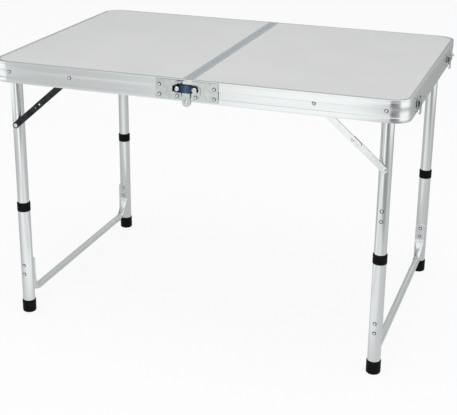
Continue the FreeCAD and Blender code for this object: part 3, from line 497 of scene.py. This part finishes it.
# ---- spring buttons over the right front collar, flush with the tube ----------------
# (radius, height over the tube's surface) in mm; none stands proud, so the collar can pass
BUTTON_PROFILE = [(0, 0.0), (1.3, -0.02), (2.2, -0.09), (2.8, -0.26), (3.05, -0.5), (3.1, -0.8)]
HOLE_DEPTH = 1.0 * MM


def make_spring_buttons():
    node = "right_front_leg_studs"
    _, low, high = centre_of(node)
    axis, tube_low, tube_high = centre_of("right_front_upper_tube")
    tube = (tube_high.x - tube_low.x) / 2
    hole = (high.x - low.x) / 2
    profile = [(radius * MM, tube + over * MM) for radius, over in BUTTON_PROFILE]
    profile += [(hole, tube - 0.8 * MM), (hole, tube - HOLE_DEPTH), (0, tube - HOLE_DEPTH)]
    form = bmesh.new()
    for z in (low.z + hole, high.z - hole):
        form.from_mesh(turned(node + "_button", profile, (axis.x, axis.y, z), "Y", 24))
    for vert in form.verts:
        aside = vert.co.x - axis.x
        vert.co.y = axis.y - math.sqrt((axis.y - vert.co.y) ** 2 - aside ** 2)
    mesh = bpy.data.meshes.new(node + "_domed")
    form.to_mesh(mesh)
    form.free()
    smooth(mesh, angle=40)
    piece = add_piece(node + "_domed", mesh, RIVET, node)

    def sunk(face):
        return math.hypot(face.center.x - axis.x, face.center.y - axis.y) < tube - 0.2 * MM

    # painted shade: the walls of the holes round the buttons are dark
    mark(piece, PAINTED_SHADE_STEEL, sunk)


make_spring_buttons()


# ---- crossbars: round tube, flattened where it is riveted to the legs ----------------
BAR_RADIUS = 8 * MM
BAR_BEND = 26 * MM
BAR_STOPS = (-0.15, -0.07, 0.0)        # along the straight part, up to the middle
TAB_DEPTH = 1.2 * MM                   # from the bar's outer side to the middle of its flat end
TUBE_DEPTH = 8.3 * MM                  # from the same side to the middle of the round tube
FLAT_END = 92.5 * MM                   # height at which the flat end starts to turn round
BEND_STEPS = 32
BAR_SIDES = 32
# half width and half thickness in mm, and squareness, of the flat end and of the round tube
FLAT = (12.0, 1.2, 5.0)
ROUND = (8.0, 8.0, 2.0)
# the flat end's rounded top: (depth below the top, half width) in mm
TAB_TOP = [(0, 7.5), (0.8, 9.5), (2.5, 11.0), (6, 12.0), (22, 12.0)]


def crossbar_stations():
    """(y, z, lean, half width, half thickness, squareness) from one end to the middle."""
    low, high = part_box("right_crossbar")
    centre_z = low.z + BAR_RADIUS
    tab_y = low.y + TAB_DEPTH
    tube_y = low.y + TUBE_DEPTH
    levels = [(high.z - below * MM, half) for below, half in TAB_TOP] + [(FLAT_END, FLAT[0])]
    rows = [(tab_y, z, 0.0, half * MM, FLAT[1] * MM, FLAT[2]) for z, half in levels]
    straight = FLAT_END - centre_z - BAR_BEND
    whole = straight + BAR_BEND * math.pi / 2
    taper = straight + BAR_BEND * math.pi / 4
    for i in range(1, BEND_STEPS + 1):
        gone = whole * i / BEND_STEPS
        t = min(gone / taper, 1.0)
        ease = t * t * (3 - 2 * t)
        angle = max(gone - straight, 0.0) / BAR_BEND
        aside = (tube_y - tab_y) * (1 - ease)
        y = tube_y + BAR_BEND - (BAR_BEND + aside) * math.cos(angle)
        z = centre_z + BAR_BEND - (BAR_BEND + aside) * math.sin(angle) + max(straight - gone, 0.0)
        half_width, half_thickness, power = (a + (b - a) * ease for a, b in zip(FLAT, ROUND))
        rows.append((y, z, angle, half_width * MM, half_thickness * MM, power))
    for y in BAR_STOPS:
        rows.append((y, centre_z, math.pi / 2, BAR_RADIUS, BAR_RADIUS, ROUND[2]))
    return rows


def make_crossbar(side):
    sign = 1 if side == "right" else -1
    middle = centre_of(side + "_crossbar")[0]
    rows = crossbar_stations()
    mirrored = [(-y, z, math.pi - lean, a, b, n) for y, z, lean, a, b, n in reversed(rows[:-1])]
    sections = []
    for y, z, lean, half_width, half_thickness, power in rows + mirrored:
        ring = []
        for i in range(BAR_SIDES):
            angle = 2 * math.pi * i / BAR_SIDES
            c, s = math.cos(angle), math.sin(angle)
            across = math.copysign(abs(c) ** (2 / power), c) * half_width
            through = math.copysign(abs(s) ** (2 / power), s) * half_thickness
            ring.append(Vector((
                middle.x + across * sign, y + through * math.cos(lean), z + through * math.sin(lean),
            )))
        sections.append(ring)
    mesh = sweep(side + "_crossbar_bent", sections)
    smooth(mesh, angle=50)
    add_piece(side + "_crossbar_bent", mesh, BAR, side + "_crossbar")


for side in SIDES:
    make_crossbar(side)


# ---- sheet-metal and turned parts with rolled edges ----------------------------------
PIECES = {}
FACING = 0.5                           # a normal with more than this along an axis points that way
# painted shade: rivet faces leaning past these limits take the dark steel, a ring round each dome
RIVET_FLAT = 0.86                      # a rivet's faces that lean more than this from its axis are dark
BRACE_RIVET_FLAT = 0.90
ELBOW_HEADS = 289.55 * MM              # past this from the middle, a rail link is its elbow rivet
THUMB_DISC = 592.5 * MM                # above this a hook is its zinc thumb disc
HINGE_INNER_HALF = 20 * MM
BLACK_SPOT = Vector((0.195, 0.569))        # the black spots' distance from the middle and their height
BLACK_SPOT_RADIUS = 5.45 * MM
BLACK_SPOT_START = 450.2 * MM
BLACK_SPOT_AREA = 100 * MM * MM


def on_black_spot(face):
    """True for the small round faces under the latch pins, which are made black."""
    offset = Vector((abs(face.center.y), face.center.z)) - BLACK_SPOT
    small = offset.length < BLACK_SPOT_RADIUS and face.area < BLACK_SPOT_AREA
    return small and face.center.x > BLACK_SPOT_START


for node, material in (
    ("left_hinge_plates", ZINC), ("right_hinge_plates", ZINC), ("latch_bases", ZINC),
    ("catch_plates", ZINC), ("front_hook", BLUED), ("back_hook", BLUED), ("front_latch_hook", ZINC),
    ("back_latch_hook", ZINC), ("handle_blocks", BLACK), ("carry_handle", BLACK),
    ("hinge_pins", RIVET), ("hook_pins", RIVET), ("hook_studs", RIVET),
):
    PIECES[node] = softened(node, material)
for side in SIDES:
    for part, flat in (
        ("leg_pivot_pins", RIVET_FLAT), ("rail_brace_pins", RIVET_FLAT),
        ("leg_brace_rivets", BRACE_RIVET_FLAT), ("crossbar_rivets", RIVET_FLAT),
        ("hinge_rivets", RIVET_FLAT),
    ):
        rivets = softened(f"{side}_{part}", RIVET, 0.2 * MM)
        # painted shade: the sloping rim of each rivet is dark
        mark(rivets, PAINTED_SHADE_STEEL, lambda face: abs(face.normal.y) < flat)
    softened(side + "_leg_brackets", ZINC)
    softened(side + "_seam_rail", SEAM)
    for end in ENDS:
        # painted light and shade: the right straps take the lit copy, the left straps the shaded copy
        strap = STRAP_LIT_COPY if side == "right" else STRAP_SHADED_COPY
        leg_link = softened(f"{side}_{end}_leg_link", strap)
        rail_link = softened(f"{side}_{end}_rail_link", strap)
        # painted shade: the straps' edges are dark
        for link in (leg_link, rail_link):
            mark(link, PAINTED_SHADE_STEEL, lambda face: abs(face.normal.y) < FACING)
        mark(rail_link, RIVET, lambda face: (
            abs(face.center.y) > ELBOW_HEADS and abs(face.normal.y) > BRACE_RIVET_FLAT))
# painted shade: the hinge plates' top and bottom edges are dark, away from the middle
for node in ("left_hinge_plates", "right_hinge_plates"):
    mark(PIECES[node], PAINTED_SHADE_STEEL, lambda face: (
        abs(face.normal.z) > FACING and abs(face.center.x) > HINGE_INNER_HALF))
# the small round faces in the latch hole take the black plastic
mark(PIECES["latch_bases"], BLACK, on_black_spot)
for node in ("front_hook", "back_hook"):
    # painted shade: the hooks' upward faces are dark
    mark(PIECES[node], PAINTED_SHADE_STEEL, lambda face: face.normal.z > FACING)
    mark(PIECES[node], ZINC, lambda face: face.center.z > THUMB_DISC)


# ---- the CAD nodes that stay, with their materials -----------------------------------
KEPT = {"board": BOARD, "leg_plugs": BLACK}
KEPT.update({f"{end}_{part}": TUBE for end in ENDS for part in ("upper_tube", "lower_tube")})
for side in SIDES:
    for part, material in KEPT.items():
        for slot in NODES[f"{side}_{part}"].material_slots:
            slot.material = material


# ---- studio --------------------------------------------------------------------------
WORLD_LEVEL = 0.60                     # the room's light
WALL_LEVEL = 0.965                     # the room as the camera sees it
WHITE_SHARE = 0.89                     # how much of the floor is plain white to the camera
FLOOR_SIZE = 16                        # metres
# The ramps are tones that are seen only in reflections: (direction, tone).
FAR_FLOOR = [
    (0.000, 1.0), (0.100, 1.0), (0.130, 0.85), (0.152, 0.54), (0.172, 0.52), (0.190, 0.64),
    (0.207, 0.92), (0.222, 1.0), (0.253, 1.0), (0.262, 0.45), (0.272, 0.20), (0.300, 0.17),
    (0.350, 0.28), (0.385, 0.42), (0.397, 0.60), (0.406, 0.95), (0.440, 1.0), (0.520, 1.0),
    (0.580, 0.60), (0.640, 0.42), (0.720, 0.38), (0.800, 0.42), (0.900, 0.7), (1.0, 1.0),
]
NEAR_FLOOR = [
    (0.000, 0.48), (0.060, 0.52), (0.150, 0.62), (0.200, 0.72), (0.222, 1.0), (0.256, 1.0),
    (0.278, 0.56), (0.305, 0.30), (0.400, 0.33), (0.445, 0.54), (0.500, 0.56), (0.560, 0.46),
    (0.740, 0.40), (0.890, 0.38), (1.000, 0.48),
]
CLOSE_FLOOR = [
    (0.000, 0.50), (0.080, 0.54), (0.145, 0.84), (0.195, 0.88), (0.250, 0.66), (0.285, 0.80),
    (0.335, 0.80), (0.395, 0.60), (0.470, 0.56), (0.560, 0.50), (1.000, 0.50),
]
SKY = [
    (0.000, 0.45), (0.130, 0.50), (0.155, 0.6), (0.195, 1.0), (0.550, 1.0), (0.640, 0.6),
    (0.740, 0.54), (0.850, 0.54), (0.895, 0.45), (0.925, 0.10), (0.980, 0.10), (1.000, 0.45),
]
# This one goes by the height over the horizon, as a sine: a dark sheet low over the floor.
LOW_SKY = [(0.0, 1.0), (0.130, 1.0), (0.160, 0.30), (0.205, 0.35), (0.240, 1.0), (1.0, 1.0)]
RED_SHARE = 0.98                       # the tones are very slightly cool
NEAR_FROM, NEAR_TO = 1.15, 1.35        # metres from the middle where one floor pattern meets the next
FAR_FROM, FAR_TO = 1.95, 2.2
LAMPS = [
    ("overhead", (0.2, -0.3, 2.6), (0, 0, 0.5), (2.4, 1.8), 24),
    ("front_fill", (-0.6, -2.8, 1.5), (0, 0, 0.4), (1.8, 1.2), 12),
]
CAMERA_PLACE = (0.7700, -2.2530, 1.1581)
CAMERA_YAW, CAMERA_PITCH, CAMERA_ROLL = 0.3347, 0.3440, 0.0101
CAMERA_LENS = 84.938                   # mm, on a sensor 36 mm wide
CAMERA_SHIFT = -0.08                   # the photograph's is near -0.73, too much for the other views


def tone_ramp(tree, source, stops):
    """A grey tone along a source that runs from 0 to 1."""
    ramp = tree.nodes.new("ShaderNodeValToRGB")
    elements = ramp.color_ramp.elements
    while len(elements) < len(stops):
        elements.new(0.5)
    for element, (place, tone) in zip(elements, stops):
        element.position = place
        element.color = (tone * RED_SHARE, tone, tone, 1)
    tree.links.new(source, ramp.inputs["Fac"])
    return ramp.outputs["Color"]


def around(tree, coords, stops):
    """A tone by the direction round the vertical; 0.25 is the front and 0.5 the right."""
    gradient = tree.nodes.new("ShaderNodeTexGradient")
    gradient.gradient_type = "RADIAL"
    tree.links.new(coords, gradient.inputs["Vector"])
    return tone_ramp(tree, gradient.outputs["Fac"], stops)


def pick(tree, share, first, second):
    """A mix of two shaders: the first where the share is 0, the second where it is 1."""
    mix = tree.nodes.new("ShaderNodeMixShader")
    tree.links.new(share, mix.inputs["Fac"])
    tree.links.new(first, mix.inputs[1])
    tree.links.new(second, mix.inputs[2])
    return mix.outputs[0]


def make_world():
    """A plain room; reflections show white sheets in it with darker gaps between them."""
    world = bpy.data.worlds.new("studio")
    world.use_nodes = True
    tree = world.node_tree
    light_path = tree.nodes.new("ShaderNodeLightPath")
    coords = tree.nodes.new("ShaderNodeTexCoord")
    light = tree.nodes["Background"]
    light.inputs["Color"].default_value = (0.97, 0.985, 1.0, 1)
    light.inputs["Strength"].default_value = WORLD_LEVEL
    seen = tree.nodes.new("ShaderNodeBackground")
    seen.inputs["Color"].default_value = (1, 1, 1, 1)
    seen.inputs["Strength"].default_value = WALL_LEVEL
    mirrored = tree.nodes.new("ShaderNodeBackground")
    direction = coords.outputs["Generated"]
    height = tree.nodes.new("ShaderNodeSeparateXYZ")
    tree.links.new(direction, height.inputs[0])
    tones = tree.nodes.new("ShaderNodeMixRGB")
    tones.blend_type = "MULTIPLY"
    tones.inputs["Fac"].default_value = 1.0
    tree.links.new(around(tree, direction, SKY), tones.inputs["Color1"])
    tree.links.new(tone_ramp(tree, height.outputs["Z"], LOW_SKY), tones.inputs["Color2"])
    tree.links.new(tones.outputs["Color"], mirrored.inputs["Color"])
    surface = light.outputs[0]
    for ray, other in (("Is Glossy Ray", mirrored), ("Is Camera Ray", seen)):
        surface = pick(tree, light_path.outputs[ray], surface, other.outputs[0])
    tree.links.new(surface, tree.nodes["World Output"].inputs["Surface"])
    bpy.context.scene.world = world


def floor_in_reflections(tree):
    """The sheets on the floor: one pattern under the object, one round it and one farther off."""
    coords = tree.nodes.new("ShaderNodeTexCoord").outputs["Object"]
    distance = tree.nodes.new("ShaderNodeVectorMath")
    distance.operation = "LENGTH"
    tree.links.new(coords, distance.inputs[0])
    colour = around(tree, coords, CLOSE_FLOOR)
    for low, high, stops in ((NEAR_FROM, NEAR_TO, NEAR_FLOOR), (FAR_FROM, FAR_TO, FAR_FLOOR)):
        share = tree.nodes.new("ShaderNodeMapRange")
        share.inputs["From Min"].default_value = low
        share.inputs["From Max"].default_value = high
        tree.links.new(distance.outputs["Value"], share.inputs["Value"])
        mix = tree.nodes.new("ShaderNodeMixRGB")
        tree.links.new(share.outputs["Result"], mix.inputs["Fac"])
        tree.links.new(colour, mix.inputs["Color1"])
        tree.links.new(around(tree, coords, stops), mix.inputs["Color2"])
        colour = mix.outputs["Color"]
    return colour


def make_floor():
    """A pale floor; part of what the camera sees of it is plain white, the rest takes shadows."""
    bpy.ops.mesh.primitive_grid_add(x_subdivisions=8, y_subdivisions=8, size=FLOOR_SIZE)
    floor = bpy.context.object
    floor.name = "floor"
    material = bpy.data.materials.new("floor_paper")
    material.use_nodes = True
    tree = material.node_tree
    shader = tree.nodes["Principled BSDF"]
    shader.inputs["Base Color"].default_value = (0.93, 0.93, 0.93, 1)
    shader.inputs["Roughness"].default_value = 0.9
    shader.inputs["Specular IOR Level"].default_value = 0.0
    light_path = tree.nodes.new("ShaderNodeLightPath")
    glow = tree.nodes.new("ShaderNodeEmission")
    glow.inputs["Strength"].default_value = 1.0
    tree.links.new(floor_in_reflections(tree), glow.inputs["Color"])
    white = tree.nodes.new("ShaderNodeEmission")
    white.inputs["Strength"].default_value = 1.0
    scaled = tree.nodes.new("ShaderNodeMath")
    scaled.operation = "MULTIPLY"
    scaled.inputs[1].default_value = WHITE_SHARE
    tree.links.new(light_path.outputs["Is Camera Ray"], scaled.inputs[0])
    shown = pick(tree, scaled.outputs[0], shader.outputs[0], white.outputs[0])
    mirrored = pick(tree, light_path.outputs["Is Glossy Ray"], shown, glow.outputs[0])
    tree.links.new(mirrored, tree.nodes["Material Output"].inputs["Surface"])
    floor.data.materials.append(material)


def add_lamp(name, place, target, size, power):
    data = bpy.data.lights.new(name, "AREA")
    data.shape = "RECTANGLE"
    data.size, data.size_y = size
    data.energy = power
    lamp = bpy.data.objects.new(name, data)
    lamp.location = place
    lamp.rotation_euler = (Vector(target) - Vector(place)).to_track_quat("-Z", "Y").to_euler()
    lamp.visible_glossy = False
    bpy.context.scene.collection.objects.link(lamp)


def make_camera():
    """The photograph's viewpoint: in front, to the right and above."""
    yaw, pitch = CAMERA_YAW, CAMERA_PITCH
    data = bpy.data.cameras.new("camera")
    data.sensor_width = 36
    data.lens = CAMERA_LENS
    data.shift_y = CAMERA_SHIFT
    data.clip_end = 60
    camera = bpy.data.objects.new("camera", data)
    camera.location = CAMERA_PLACE
    level = math.cos(pitch)
    ahead = Vector((-math.sin(yaw) * level, math.cos(yaw) * level, -math.sin(pitch)))
    turn = ahead.to_track_quat("-Z", "Y") @ Quaternion((0, 0, 1), CAMERA_ROLL)
    camera.rotation_euler = turn.to_euler()
    bpy.context.scene.collection.objects.link(camera)
    bpy.context.scene.camera = camera


make_world()
make_floor()
for lamp in LAMPS:
    add_lamp(*lamp)
make_camera()
bpy.context.scene.view_settings.view_transform = "Standard"
